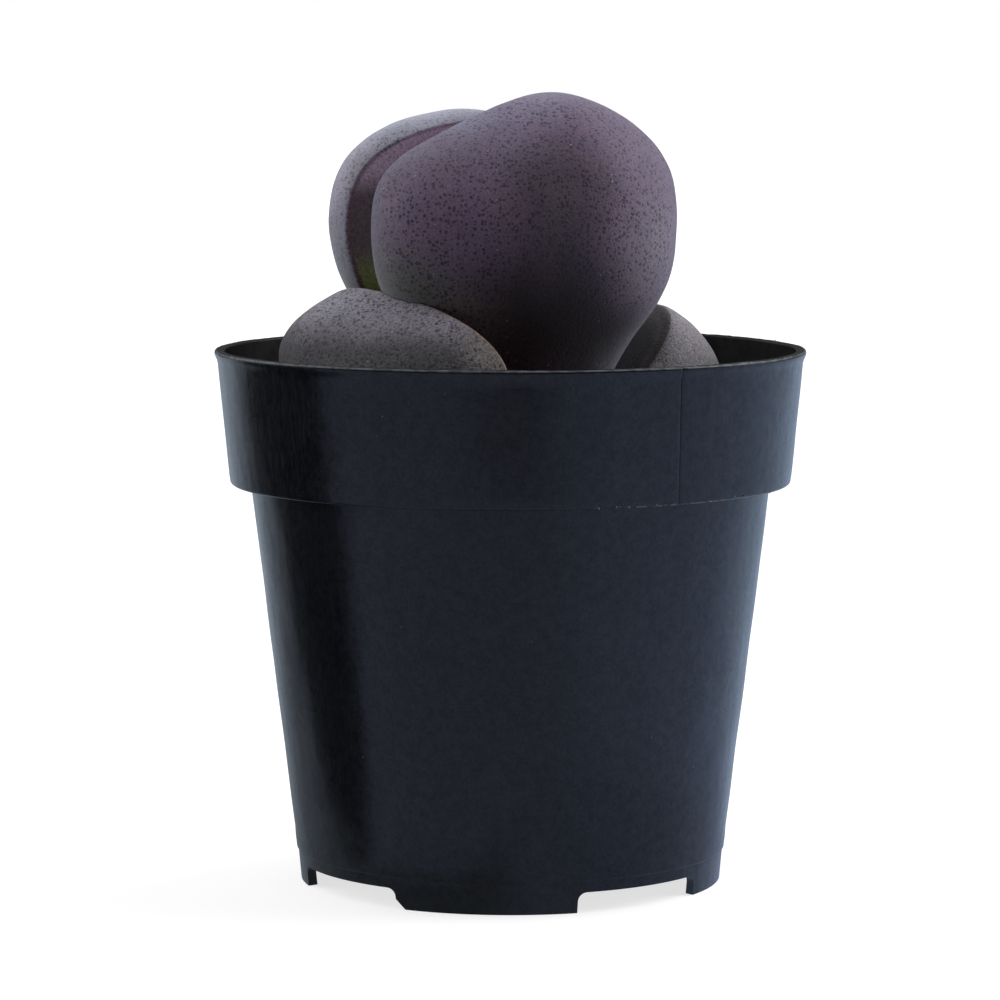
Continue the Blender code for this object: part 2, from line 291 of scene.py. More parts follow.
class Leaf:
    """Sizes in mm and angles in degrees; the names say what each one is on the leaf.

    It faces outwards at an angle around the pot, leans back and rolls. Half widths are to its
    left and right, heights above and below its centre, and powers square up its plan, its top
    and its foot. A shoulder is a tilt, a slope and a distance; the neck a length and a taper.
    """

    def __init__(self, centre, facing, lean, roll, half_widths, depth, flat, heights, powers,
                 rounding, crease, shoulders, neck):
        self.centre = np.array(centre) * MM
        self.half_widths = np.array(half_widths) * MM
        self.depth, self.flat = depth * MM, flat * MM
        self.heights = np.array(heights) * MM
        self.powers, self.rounding, self.crease = powers, rounding, crease
        self.shoulders = shoulders
        self.neck_length, self.neck_taper = neck[0] * MM, neck[1]
        facing, lean, roll = (math.radians(a) for a in (facing, lean, roll))
        outward = np.array([math.cos(facing), math.sin(facing), 0])
        side = np.array([-math.sin(facing), math.cos(facing), 0])
        up = np.array([0, 0, 1])
        normal = math.cos(lean) * outward - math.sin(lean) * up
        along = math.sin(lean) * outward + math.cos(lean) * up
        self.axes = np.array([
            normal,
            math.cos(roll) * side + math.sin(roll) * along,
            math.cos(roll) * along - math.sin(roll) * side,
        ])

    def skin(self, directions):
        """Distance to the skin, and how far the flat inner face is what limits it, 0 to 1."""
        n, t, z = (directions @ self.axes.T).T
        plan, upper, lower = self.powers
        half_width = np.where(t > 0, *self.half_widths)
        height = np.where(z > 0, *self.heights)
        power = np.where(z > 0, upper, lower)
        ring = (np.abs(n / self.depth) ** plan + np.abs(t / half_width) ** plan) ** (1 / plan)
        bulb = (ring ** power + np.abs(z / height) ** power) ** (1 / power)
        nearness = bulb ** self.rounding
        for tilt, slope, distance in self.shoulders:
            a, b = math.radians(tilt), math.radians(slope)
            across = math.cos(a) * z - math.sin(a) * t
            towards = math.cos(b) * across + math.sin(b) * n
            past = math.cos(b) * n - math.sin(b) * across
            arch = np.hypot(np.maximum(towards, 0) / (distance * MM), past / (ARCH * self.depth))
            nearness += arch ** self.rounding
        dome = nearness ** (self.crease / self.rounding)
        inner = (np.maximum(-n, 0) / self.flat) ** self.crease
        body = (dome + inner) ** (-1 / self.crease)
        to_crown = (CROWN - self.centre) / np.linalg.norm(CROWN - self.centre)
        neck = self.neck_length * np.maximum(directions @ to_crown, 0) ** self.neck_taper
        reach = (body ** NECK_BLEND + neck ** NECK_BLEND) ** (1 / NECK_BLEND)
        return reach, inner / (dome + inner)

    def holds(self, points, clearance=0.0):
        """Which of the points lie in the leaf, or closer to it than the clearance."""
        directions, distances = rows_to_unit(points - self.centre)
        return distances < self.skin(directions)[0] + clearance


LEAVES = {
    "old_leaf_left": Leaf(
        centre=(-10.45, -12.9, 58.8), facing=213.8, lean=24.2, roll=-9.4,
        half_widths=(14.9, 17.2), depth=11.9, flat=2.1, heights=(5.8, 12.5),
        powers=(2.41, 2.41, 2.0), rounding=8.0, crease=14.0, shoulders=[], neck=(15.5, 6)),
    "old_leaf_right": Leaf(
        centre=(13.0, 8.8, 53.4), facing=28.1, lean=42.1, roll=-5.3,
        half_widths=(13.4, 10.8), depth=10.2, flat=4.6, heights=(9.7, 12.0),
        powers=(2.16, 2.4, 2.0), rounding=9.0, crease=15.0, shoulders=[], neck=(10.5, 6)),
    "young_leaf_front": Leaf(
        centre=(2.7, -5.2, 73.7), facing=-62.0, lean=8.8, roll=6.0,
        half_widths=(16.0, 18.9), depth=12.7, flat=5.1, heights=(18.05, 17.1),
        powers=(2.13, 2.0, 2.43), rounding=8.2, crease=12.0,
        shoulders=[(16.9, 16, 11.2), (-29.5, 16, 13.8)], neck=(26.4, 1.5)),
    "young_leaf_back": Leaf(
        centre=(-4.3, 8.8, 73.15), facing=105.0, lean=-7.3, roll=-4.5,
        half_widths=(17.7, 17.2), depth=11.4, flat=3.9, heights=(11.7, 20.4),
        powers=(2.07, 2.06, 1.59), rounding=8.0, crease=45.0,
        shoulders=[(42.4, 16, 11.6), (-86.1, 0, 17.55)], neck=(20.5, 6)),
}
LEAF_NODES = {
    "old_leaf_left": "outer_leaf_left",
    "old_leaf_right": "outer_leaf_right",
    "young_leaf_front": "inner_leaf_front",
    "young_leaf_back": "inner_leaf_back",
}

# %% [markdown]
# ## The leaves' mesh
#
# A globe of longitudes and latitudes pinches at its poles, and a pole on a smooth leaf shows.
# A cube blown up to a ball has none: six square grids of even faces. A tangent spreads the
# grid lines evenly, and more of them are drawn to the crease between dome and flat face, which
# needs them. Real skin isn't a perfect surface, so slow ripples of one or two tenths of a
# millimetre go in as shape, and the leaf shrinks a hair to give them room. Where the leaf would
# run into an older one, its points slide back along their own ray until they just touch, which
# leaves the dent that is seen in life.

# %% Ball grid, contact and the four leaf meshes
LEAF_CUTS = 90
TOUCH = 0.06 * MM
SHRINK = 0.12 * MM


def drawn_to(places, crease):
    """Places from -1 to 1 with more of them near the crease, the ends where they were."""
    even = np.linspace(-1, 1, 400)
    crowd = np.cumsum(1 + 4 * np.exp(-((even - crease) / 0.16) ** 2))
    reached = 2 * (crowd - crowd[0]) / (crowd[-1] - crowd[0]) - 1
    return np.interp(places, reached, even)


def ball_grid(cuts, crease):
    """Unit directions and square faces of a cube blown up to a ball."""
    bm = bmesh.new()
    bmesh.ops.create_cube(bm, size=2)
    bmesh.ops.subdivide_edges(bm, edges=bm.edges, cuts=cuts, use_grid_fill=True)
    bmesh.ops.recalc_face_normals(bm, faces=bm.faces)
    cube = np.array([v.co for v in bm.verts])
    faces = [[v.index for v in face.verts] for face in bm.faces]
    bm.free()
    cube[:, 0] = drawn_to(cube[:, 0], crease)
    return rows_to_unit(np.tan(cube * math.pi / 4))[0], faces


def give_way(points, centre, older):
    """Slides the points that press on an older leaf back towards the centre."""
    pressed = older.holds(points, TOUCH)
    free, held = np.zeros(pressed.sum()), np.ones(pressed.sum())
    rays = points[pressed] - centre
    for _ in range(24):
        middle = (free + held) / 2
        inside = older.holds(centre + rays * middle[:, None], TOUCH)
        held = np.where(inside, middle, held)
        free = np.where(inside, free, middle)
    points[pressed] = centre + rays * free[:, None]
    return int(pressed.sum())


def leaf_mesh(name, leaf, older_leaves, seed):
    crease = -math.atan(leaf.flat / leaf.half_widths.mean()) / (math.pi / 4)
    own, faces = ball_grid(LEAF_CUTS, crease)
    directions = own @ leaf.axes
    distance, inner = leaf.skin(directions)
    points = leaf.centre + directions * distance[:, None]
    uneven = ripple(points, 9, 0.22, seed) + ripple(points, 3.2, 0.07, seed + 5)
    points = leaf.centre + directions * (distance - SHRINK + uneven)[:, None]
    touching = sum(give_way(points, leaf.centre, older) for older in older_leaves)
    mesh = mesh_from(name, points, faces)
    paint(mesh, "inner", inner)
    paint(mesh, "margin", 4 * inner * (1 - inner))
    print(name, "presses on older leaves with", touching, "of its points")
    return mesh


leaf_meshes = {}
for number, (name, leaf) in enumerate(LEAVES.items()):
    older = list(LEAVES.values())[:number]
    leaf_meshes[name] = leaf_mesh(name, leaf, older, seed=number + 1)

# %% [markdown]
# ## The leaves' skin
#
# The skin is waxy and dull, grey-purple from a pigment that shades it, and sprinkled with dark
# window dots that let light in. Near the crown and in the fissure the pigment thins and green
# shows. Grazing light catches a pale bloom: that is the sheen of the
# shader, not a colour. The dots are cells of a 3-D Voronoi pattern, so a curved leaf cuts some
# of them off-centre and they differ in size, as they do in life. Light and shade are painted into
# the colour as well: patches lighter where the lamps and sheen fall and darker in shade, painted
# shade low down, lit tops on the flat faces and a lighter margin at the back leaf's top.

# %% Leaf finish
WAX = {"Sheen Roughness": 0.40, "Sheen Tint": (0.78, 0.86, 1.0), "Specular IOR Level": 0.25,
       "IOR": 1.45}
DOT = (0.024, 0.014, 0.030)
FLECK = (0.42, 0.41, 0.44)


def inner_face(skin, height, levels, low, middle, top):
    """Tones of the flat face by height: green near the crown, a middle and a top. Besides the green, they
    paint light and shade: lit tops, a lightened fissure, a shaded foot.
    """
    low_end, top_end = levels
    tone = skin.mix(skin.ramp(height, low_end, low_end + 4), low, middle)
    return skin.mix(skin.ramp(height, top_end, top_end + 3.5), tone, top)


def leaf_skin(name, body, rosy, low_shade, low_shade_from, lit_inner_top, inner_low, margin, light_and_shade_zones=(), bloom=0.5,
              dots=1.0, rough=0.0, inner_mid=None, levels=(68, 76.5), edge=(0.45, 0.60),
              margin_line=(0.5, 0.9), lit_margin_top=None, gap=0.44, seed=0):
    """Body colour with rosy patches, painted shade low down, patches of painted light and shade, an inner
    face and a margin line.
    """
    skin = Finish(name, {**WAX, "Sheen Weight": bloom})
    shift = (seed * 31, seed * 13, seed * 7)
    clouds = skin.noise(9, 3, shift)
    grain = skin.ramp(skin.noise(0.24, 4, shift, rough=0.8), 0.30, 0.70)
    height = skin.axis("Z")
    cloudy_height = height + clouds * 4
    inner, margin_share = skin.attribute("inner"), skin.attribute("margin")

    colour = skin.mix(skin.ramp(clouds, 0.42, 0.60), body, rosy)
    # A darker tone low down: painted shade, where the pot's rim and the other leaves shade the leaf's
    # foot.
    low = skin.ramp(cloudy_height, low_shade_from[0] + 2, low_shade_from[1] + 2)
    colour = skin.mix(low * 0.9, colour, low_shade)
    # Patches near given points paint light and shade into the colour: lighter where lamps and sheen fall,
    # darker where shade falls; the front leaf's middle patch is partly a darker pigment too.
    for point, full, none, tone in light_and_shade_zones:
        colour = skin.mix(skin.near(point, full, none) * 0.85, colour, tone)
    # The flat face's tones by height also paint its light and shade: a lit top, a lightened fissure on
    # the back leaf, and a shaded foot on the old right leaf.
    inside = inner_face(skin, cloudy_height, levels, inner_low, inner_mid or inner_low, lit_inner_top)
    colour = skin.mix(skin.ramp(inner, *edge), colour, inside)
    # The margin line is lighter at the top, which paints light into the crease there.
    margin = skin.mix(skin.ramp(height, 74, 79), margin, lit_margin_top or margin)
    colour = skin.mix(skin.ramp(margin_share, *margin_line) * 0.85, colour, margin)
    contrast = 0.35 + 0.30 * rough
    speckle = skin.mix(grain, (1 - contrast,) * 3, (1 + contrast,) * 3)
    colour = skin.mix(1.0, colour, speckle, "MULTIPLY")

    crowd = skin.ramp(skin.noise(5, 2, shift), 0.30, 0.55) * 0.3 + 0.7
    dot = skin.spots(gap, 0.43, 0.32, shift, 0.21, (1, 1.5, 1)) * crowd * (1.15 - 0.3 * grain)
    outside = 1 - skin.ramp(inner, 0.3, 0.6) * 0.7
    colour = skin.mix(dot * outside * (0.72 * dots), colour, DOT)
    fleck = skin.spots(1.1, 0.07, 0.8, shift, 0.05)
    colour = skin.mix(fleck * 0.5, colour, FLECK)

    skin.feed("Base Color", colour)
    skin.feed("Roughness", 0.50 + grain * 0.12 - dot * 0.06)
    pores = skin.bump(grain, 0.035 + 0.035 * rough, 0.6)
    skin.feed("Normal", skin.bump(dot, -0.03, 0.5, pores))
    return skin


# For each leaf, the patches near points, the low tone and the flat face's tones below paint its light and
# shade.
skins = {
    "old_leaf_left": leaf_skin(
        "skin_old_left", body=(0.300, 0.286, 0.338), rosy=(0.272, 0.250, 0.298),
        low_shade=(0.055, 0.051, 0.057), low_shade_from=(63.8, 59.6),
        lit_inner_top=(0.12, 0.10, 0.10), inner_low=(0.10, 0.10, 0.08), margin=(0.30, 0.15, 0.08),
        light_and_shade_zones=[((-2.2, -24, 59.8), 1, 4.5, (0.20, 0.18, 0.175))],
        bloom=0.08, dots=0.95, gap=0.52, rough=1.0, margin_line=(0.05, 0.3), seed=3),
    "old_leaf_right": leaf_skin(
        "skin_old_right", body=(0.230, 0.210, 0.235), rosy=(0.215, 0.195, 0.212),
        low_shade=(0.120, 0.112, 0.120), low_shade_from=(60, 56),
        lit_inner_top=(0.150, 0.140, 0.132), inner_mid=(0.044, 0.040, 0.036),
        inner_low=(0.010, 0.009, 0.007), levels=(57.8, 61), margin=(0.085, 0.070, 0.060),
        light_and_shade_zones=[((17, -1, 57), 2, 8, (0.228, 0.210, 0.234)),
               ((16.5, 5, 62), 1, 5, (0.300, 0.275, 0.315))],
        bloom=0.25, dots=0.5, rough=0.6, edge=(0.5, 0.99), seed=4),
    "young_leaf_front": leaf_skin(
        "skin_young_front", body=(0.158, 0.116, 0.192), rosy=(0.180, 0.120, 0.196),
        low_shade=(0.060, 0.043, 0.062), low_shade_from=(70, 60),
        lit_inner_top=(0.17, 0.10, 0.16), inner_low=(0.075, 0.090, 0.045), margin=(0.13, 0.07, 0.10),
        light_and_shade_zones=[((5.5, -17, 76), 2, 10, (0.073, 0.053, 0.073)),
               ((-14, -9, 71.5), 2, 9, (0.080, 0.065, 0.102)),
               ((2, -8, 86), 1, 6, (0.225, 0.190, 0.290)),
               ((-4, -7, 83), 1, 5, (0.210, 0.190, 0.290)),
               ((-10, -6.5, 78.5), 1, 5, (0.205, 0.185, 0.275)),
               ((-6, -15, 79), 1, 6, (0.130, 0.092, 0.152)),
               ((-11, -14, 63.5), 3, 11, (0.093, 0.099, 0.085)),
               ((-3.5, -17, 62.5), 1, 6, (0.150, 0.125, 0.145)),
               ((16, -11, 69), 2, 10, (0.208, 0.176, 0.235)),
               ((11.5, -9, 57.5), 2, 8, (0.022, 0.018, 0.022)),
               ((4.5, -17, 64.5), 3, 12, (0.025, 0.020, 0.024))],
        bloom=0.3, margin_line=(0.8, 0.98), seed=1),
    "young_leaf_back": leaf_skin(
        "skin_young_back", body=(0.188, 0.176, 0.235), rosy=(0.200, 0.166, 0.222),
        low_shade=(0.130, 0.132, 0.142), low_shade_from=(72, 62),
        lit_inner_top=(0.60, 0.46, 0.64), inner_mid=(0.165, 0.130, 0.162),
        inner_low=(0.31, 0.385, 0.155), levels=(67.4, 76.5),
        margin=(0.20, 0.105, 0.150), lit_margin_top=(0.36, 0.24, 0.34),
        light_and_shade_zones=[((-19, 5, 77), 1, 6, (0.310, 0.280, 0.370)),
               ((-11, 6, 83), 2, 9, (0.295, 0.280, 0.368)),
               ((-16, 5, 80), 1, 5, (0.370, 0.345, 0.440))],
        bloom=0.6, dots=0.8, margin_line=(0.7, 0.97), seed=2),
}
for name, mesh in leaf_meshes.items():
    add_piece(name, mesh, skins[name], LEAF_NODES[name])

# %% [markdown]
# ## Turned pieces with uneven walls
#
# The pot and the mix are round. Blender's Screw would turn a profile, but the pot
# needs extra meridians at its mould seams and its rim needs to wander a little, so the rings
# are laid out one by one: one point for each height on the profile and each angle.

# %% Lathe
def lathe(profile, angles, nudge=None):
    """Rings of points for a profile that starts and ends on the axis, top to bottom outside."""
    ring_profile = np.array(profile[1:-1])
    radius = np.repeat(ring_profile[:, 0], len(angles))
    height = np.repeat(ring_profile[:, 1], len(angles))
    turn = np.tile(angles, len(ring_profile))
    if nudge:
        radius, height, turn = nudge(radius, height, turn)
    points = np.stack([radius * np.cos(turn), radius * np.sin(turn), height], 1)
    points = np.vstack([points, [0, 0, profile[0][1]], [0, 0, profile[-1][1]]])
    count, rings = len(angles), len(ring_profile)
    faces = []
    for i in range(count):
        j = (i + 1) % count
        for ring in range(rings - 1):
            a, b = ring * count, (ring + 1) * count
            faces.append((a + i, b + i, b + j, a + j))
        faces.append((rings * count, i, j))
        last = (rings - 1) * count
        faces.append((last + j, last + i, rings * count + 1))
    return points, faces


def between(start, end, steps):
    """Points from the start to just before the end."""
    shares = np.linspace(0, 1, steps, endpoint=False)[:, None]
    return [tuple(p) for p in np.array(start) + shares * (np.array(end) - np.array(start))]


def corner(centre, radius, start, end, steps=5):
    angles = np.radians(np.linspace(start, end, steps))
    return [(centre[0] + radius * math.cos(a), centre[1] + radius * math.sin(a)) for a in angles]


# %% [markdown]
# ## The pot
#
# A nursery pot is injection-moulded polypropylene: a thin tapered wall, a collar that stiffens
# the rim and lets pots stack, and a foot ring with wide notches that let water out. The two
# halves of the mould leave a hair-thin line down each side of the collar. The rim was never
# trimmed: it wanders by a tenth of a millimetre. The profile repeats the CAD model's sizes.

# %% Pot sizes
WALL = 0.85 * MM
LIP_HEIGHT = 0.9 * MM
LIP_PROUD = 0.3 * MM
COLLAR_FOOT_Z = 43.9 * MM
COLLAR_FOOT_RADIUS = 30.87 * MM
BODY_TOP_RADIUS = 28.6 * MM
SKIRT_TOP_Z = 3.55 * MM
SKIRT_TOP_RADIUS = 23.68 * MM
FOOT_STEP = 0.18 * MM
FOOT_RADIUS = 23.2 * MM
FOOT_WALL = 1.1 * MM
FLOOR_LOW_Z = 2.6 * MM
FLOOR_TOP_Z = 3.6 * MM
ROUNDING = 0.3 * MM
FLOOR_CORNER = 1.2 * MM
LEDGE_Z = COLLAR_FOOT_Z + WALL
RIM_RADIUS = pot_high.x
RIM_Z = pot_high.z


# %% Pot profile
def line(start, end, at):
    """Radius at a height, on the straight line through two (z, r) points."""
    return start[1] + (at - start[0]) / (end[0] - start[0]) * (end[1] - start[1])


def body_radius(z):
    return line((SKIRT_TOP_Z, SKIRT_TOP_RADIUS), (COLLAR_FOOT_Z, BODY_TOP_RADIUS), z)


def collar_radius(z):
    return line((COLLAR_FOOT_Z, COLLAR_FOOT_RADIUS), (RIM_Z - LIP_HEIGHT, RIM_RADIUS - LIP_PROUD), z)


floor_side = body_radius(FLOOR_TOP_Z + FLOOR_CORNER) - WALL
inside_wall = [
    *corner((floor_side - FLOOR_CORNER, FLOOR_TOP_Z + FLOOR_CORNER), FLOOR_CORNER, -90, 0),
    *between((body_radius(10 * MM) - WALL, 10 * MM), (body_radius(43 * MM) - WALL, 43 * MM), 12),
    (body_radius(COLLAR_FOOT_Z - WALL) - WALL, COLLAR_FOOT_Z - WALL),
    (BODY_TOP_RADIUS - WALL / 2, LEDGE_Z),
    *between((collar_radius(LEDGE_Z) - WALL, LEDGE_Z + ROUNDING),
             (collar_radius(RIM_Z - LIP_HEIGHT) - WALL, RIM_Z - LIP_HEIGHT), 12),
]
lip = [
    *corner((RIM_RADIUS - WALL - LIP_PROUD + ROUNDING, RIM_Z - ROUNDING), ROUNDING, 180, 90),
    *corner((RIM_RADIUS - ROUNDING, RIM_Z - ROUNDING), ROUNDING, 90, 0),
    (RIM_RADIUS, RIM_Z - LIP_HEIGHT / 2),
    (RIM_RADIUS - 0.10 * MM, RIM_Z - LIP_HEIGHT + 0.15 * MM),
    (RIM_RADIUS - 0.24 * MM, RIM_Z - LIP_HEIGHT - 0.15 * MM),
]
outside_wall = [
    *between((collar_radius(RIM_Z - 1.5 * MM), RIM_Z - 1.5 * MM),
             (collar_radius(COLLAR_FOOT_Z + ROUNDING), COLLAR_FOOT_Z + ROUNDING), 20),
    *corner((COLLAR_FOOT_RADIUS - ROUNDING, COLLAR_FOOT_Z + ROUNDING), ROUNDING, 0, -90),
    (BODY_TOP_RADIUS + 0.15 * MM, COLLAR_FOOT_Z),
    *between((BODY_TOP_RADIUS, COLLAR_FOOT_Z - 0.15 * MM), (SKIRT_TOP_RADIUS, SKIRT_TOP_Z), 36),
    (SKIRT_TOP_RADIUS, SKIRT_TOP_Z),
    (SKIRT_TOP_RADIUS - FOOT_STEP, SKIRT_TOP_Z - FOOT_STEP),
    *between((SKIRT_TOP_RADIUS - FOOT_STEP - 0.01 * MM, SKIRT_TOP_Z - 0.4 * MM), (FOOT_RADIUS, 0), 4),
    (FOOT_RADIUS, 0),
    (FOOT_RADIUS - FOOT_WALL, 0),
    (SKIRT_TOP_RADIUS - FOOT_STEP - FOOT_WALL, FLOOR_LOW_Z),
]
pot_profile = [(0, FLOOR_TOP_Z), *inside_wall, *lip, *outside_wall, (0, FLOOR_LOW_Z)]
print("pot profile has", len(pot_profile), "points")

# %% Where the wall's rings have their points
POT_TURNS = 288
SEAM_TURN = math.radians(-56.6)
SEAM_LEAN = math.radians(1.3)
seam_turns = [SEAM_TURN, SEAM_TURN + math.pi]
seam_offsets = np.array([-0.5, -0.16, -0.07, 0.0, 0.07, 0.16, 0.5]) * MM / RIM_RADIUS
even_turns = np.linspace(-math.pi, math.pi, POT_TURNS, endpoint=False)
away = [t for t in even_turns if all(abs(math.remainder(t - s, math.tau)) > 0.02 for s in seam_turns)]
pot_turns = np.array(sorted([*away, *[s + o for s in seam_turns for o in seam_offsets]]))
print("each ring has", len(pot_turns), "points,", len(seam_offsets), "of them at each seam")

# %% Pot wall, with its mould seams and wandering rim
SEAM_DEPTH = 0.08 * MM
SEAM_WIDTH = 0.07 * MM
RIM_BAND = 1.4 * MM


def uneven_pot(radius, height, turn):
    """Seam grooves on the collar, a wandering rim and a wall that is not quite true."""
    rest = np.abs(np.array([[math.remainder(t - s, math.tau) for s in seam_turns] for t in turn])).min(1)
    on_collar = (height > COLLAR_FOOT_Z) & (radius > collar_radius(height) - 0.3 * MM)
    groove = SEAM_DEPTH * np.exp(-(rest * RIM_RADIUS / SEAM_WIDTH) ** 2)
    radius = radius - on_collar * groove
    round_trip = np.stack([np.cos(turn), np.sin(turn), height / (30 * MM)], 1)
    wander = np.array([noise.noise(Vector(p) * 5) for p in round_trip])
    chatter = np.array([noise.noise(Vector(p) * 26) for p in round_trip])
    rim_share = np.clip((height - (RIM_Z - RIM_BAND)) / RIM_BAND, 0, 1)
    depth = np.clip((RIM_Z - height) / (RIM_Z - COLLAR_FOOT_Z), 0, 1)
    height = height - rim_share * (0.06 + 0.05 * wander + 0.07 * np.abs(chatter)) * MM
    radius = radius - (0.06 + 0.06 * wander) * MM * (height > 5 * MM)
    return radius, height, turn + SEAM_LEAN * depth


points, faces = lathe(pot_profile, pot_turns, uneven_pot)
pot_mesh = mesh_from("pot_wall", points, faces)
inside_rings = len(inside_wall) + 2
inside = np.zeros(len(points))
inside[:inside_rings * len(pot_turns)] = 1
inside[-2] = 1
paint(pot_mesh, "inside", inside)

# %% [markdown]
# ## The notches and drain holes
#
# The foot's four notches and the ring of drain holes repeat around the axis, so one Geometry
# Nodes tree turns copies of a cutter about Z. Boolean then takes them out of the wall, each
# cutter standing out a little so that no two faces coincide. One foot has lost a corner, which
# a tilted block takes off.

# %% Geometry Nodes: copies around the axis
def geometry_tree(name, sockets):
    """An empty geometry tree with named inputs; returns it wrapped, and its input node."""
    group = bpy.data.node_groups.new(name, "GeometryNodeTree")
    group.interface.new_socket("Geometry", in_out="INPUT", socket_type="NodeSocketGeometry")
    for socket, kind in sockets.items():
        group.interface.new_socket(socket, in_out="INPUT", socket_type="NodeSocket" + kind)
    group.interface.new_socket("Geometry", in_out="OUTPUT", socket_type="NodeSocketGeometry")
    tree = Tree(group)
    return tree, tree.node("NodeGroupInput")


def close_tree(tree, geometry, finish):
    """Realize the instances, give them their finish and send them out."""
    real = tree.node("GeometryNodeRealizeInstances", inputs={0: geometry})
    dressed = tree.node("GeometryNodeSetMaterial", inputs={0: real, "Material": finish.material})
    tree.node("NodeGroupOutput", inputs={0: dressed})


def grow(tree, mesh, values):
    """Runs a tree on a mesh and returns the result as a plain mesh."""
    holder = in_scene(tree.tree.name, mesh)
    modifier = holder.modifiers.new("grow", "NODES")
    modifier.node_group = tree.tree
    for item in tree.tree.interface.items_tree:
        if item.in_out == "INPUT" and item.name in values:
            modifier[item.identifier] = values[item.name]
    graph = bpy.context.evaluated_depsgraph_get()
    result = bpy.data.meshes.new_from_object(holder.evaluated_get(graph))
    bpy.data.objects.remove(holder)
    return result


def around_axis_tree(finish):
    tree, given = geometry_tree("around_axis", {"Copies": "Int", "First turn": "Float"})
    spots = tree.node("GeometryNodeMeshLine", inputs={"Count": given.out("Copies"), "Offset": (0, 0, 0)})
    index = tree.node("GeometryNodeInputIndex")
    turn = given.out("First turn") + index * math.tau / given.out("Copies")
    spin = tree.node("ShaderNodeCombineXYZ", inputs={"Z": turn})
    copies = tree.node("GeometryNodeInstanceOnPoints", inputs={
        "Points": spots, "Instance": given.out("Geometry"), "Rotation": spin})
    close_tree(tree, copies, finish)
    return tree


# %% [markdown]
# ## The pot's finish
#
# Recycled black plastic is not pure black: it has a cool cast, a haze of fine scuffs that run
# the way the pots slide into each other, and specks of dust. The rim's outer edge is paler, from
# wear by handling and a painted highlight along it, and drops that hang from the collar leave a
# crust. Inside, soil has dulled it.

# %% Plastic and its scuffs
BLACK, HAZY_BLACK = (0.0002, 0.0004, 0.0012), (0.0064, 0.0074, 0.0105)
SCUFF = (0.018, 0.021, 0.028)
MOST_HANDLED = (-28, -16, 52)

plastic = Finish("pot_plastic", {"Specular IOR Level": 0.42, "IOR": 1.49, "Coat Roughness": 0.2})
haze = plastic.noise(11, 4, rough=0.6)
mottle = plastic.ramp(plastic.noise(1.1, 5, rough=0.85), 0.38, 0.62)
grit = plastic.ramp(plastic.noise(0.3, 3, rough=0.8), 0.35, 0.65)
clouding = plastic.ramp(haze, 0.35, 0.65) * 0.3 + mottle * 0.4 + grit * 0.3
tone = plastic.mix(clouding, BLACK, HAZY_BLACK)
drag = plastic.noise(0.35, 4, stretch=(1, 1, 22), rough=0.7)
scuffed = plastic.ramp(drag, 0.48, 0.68) * (0.06 + 0.5 * plastic.near(MOST_HANDLED, 4, 17))
tone = plastic.mix(scuffed, tone, SCUFF)

# %% Rim edge with wear and a painted highlight, and dust
RIM_HIGHLIGHT_AND_WEAR = (0.160, 0.175, 0.205)
DUST = (0.26, 0.25, 0.24)
rim_out, rim_up = RIM_RADIUS / MM, RIM_Z / MM

height = plastic.axis("Z")
from_axis = (plastic.axis("X") ** 2 + plastic.axis("Y") ** 2) ** 0.5
# The rim's outer top edge is paler: wear from handling, and a painted highlight along the edge.
at_edge = plastic.ramp(from_axis, rim_out - 0.35, rim_out - 0.22)
at_edge = at_edge * plastic.ramp(height, rim_up - 0.32, rim_up - 0.22)
highlight_and_wear = at_edge * (0.5 + 0.5 * plastic.ramp(plastic.noise(1.2, 4, rough=0.7), 0.4, 0.6))
tone = plastic.mix(highlight_and_wear * 0.8, tone, RIM_HIGHLIGHT_AND_WEAR)
dust = plastic.spots(2.2, 0.03, 0.9, soft=0.02) * plastic.ramp(plastic.noise(0.2, 3), 0.40, 0.60)
tone = plastic.mix(dust * 0.4, tone, DUST)

# %% Crust along the collar's foot, and the feeds
OCHRE, CHALK = (0.13, 0.10, 0.02), (0.22, 0.20, 0.17)
collar_foot = COLLAR_FOOT_Z / MM

azimuth = plastic.azimuth()
peel = plastic.noise(0.6, 3)
at_foot = plastic.ramp(height, collar_foot - 0.10, collar_foot + 0.02)
at_foot = at_foot * plastic.ramp(height, collar_foot + 0.22, collar_foot + 0.10)
splashed = at_foot * plastic.ramp(azimuth, -24, -34) * plastic.ramp(azimuth, -76, -73)
broken = plastic.ramp(plastic.noise(2.2, 5, rough=0.8), 0.44, 0.54) * plastic.ramp(peel, 0.40, 0.52)
crust = splashed * broken
tone = plastic.mix(crust * 0.8, tone, plastic.mix(plastic.ramp(azimuth, -70, -62), OCHRE, CHALK))
plastic.feed("Base Color", tone)
plastic.feed("Coat Weight", mottle * 0.18 + grit * 0.20)
plastic.feed("Roughness", 0.14 + mottle * 0.03 + haze * 0.05 + drag * 0.08 + crust * 0.5)
waves = plastic.bump(plastic.noise(6, 2, stretch=(1, 1, 2)), 0.35, 0.5)
plastic.feed("Normal", plastic.bump(drag * 0.25 + peel * 0.4 + mottle * 0.2, 0.035, 0.6, waves))
print("the plastic's tree has", len(plastic.tree.nodes), "nodes")

# %% Soil on the pot's inside
soiled = Finish("pot_inside", {"Specular IOR Level": 0.12})
clods = soiled.noise(1.6, 5, rough=0.7)
tone = soiled.mix(soiled.ramp(clods, 0.35, 0.7), (0.0032, 0.0031, 0.0032), (0.0118, 0.0112, 0.0108))
soiled.feed("Base Color", tone)
soiled.feed("Roughness", 0.55 + clods * 0.3)
soiled.feed("Normal", soiled.bump(clods, 0.2, 0.6))

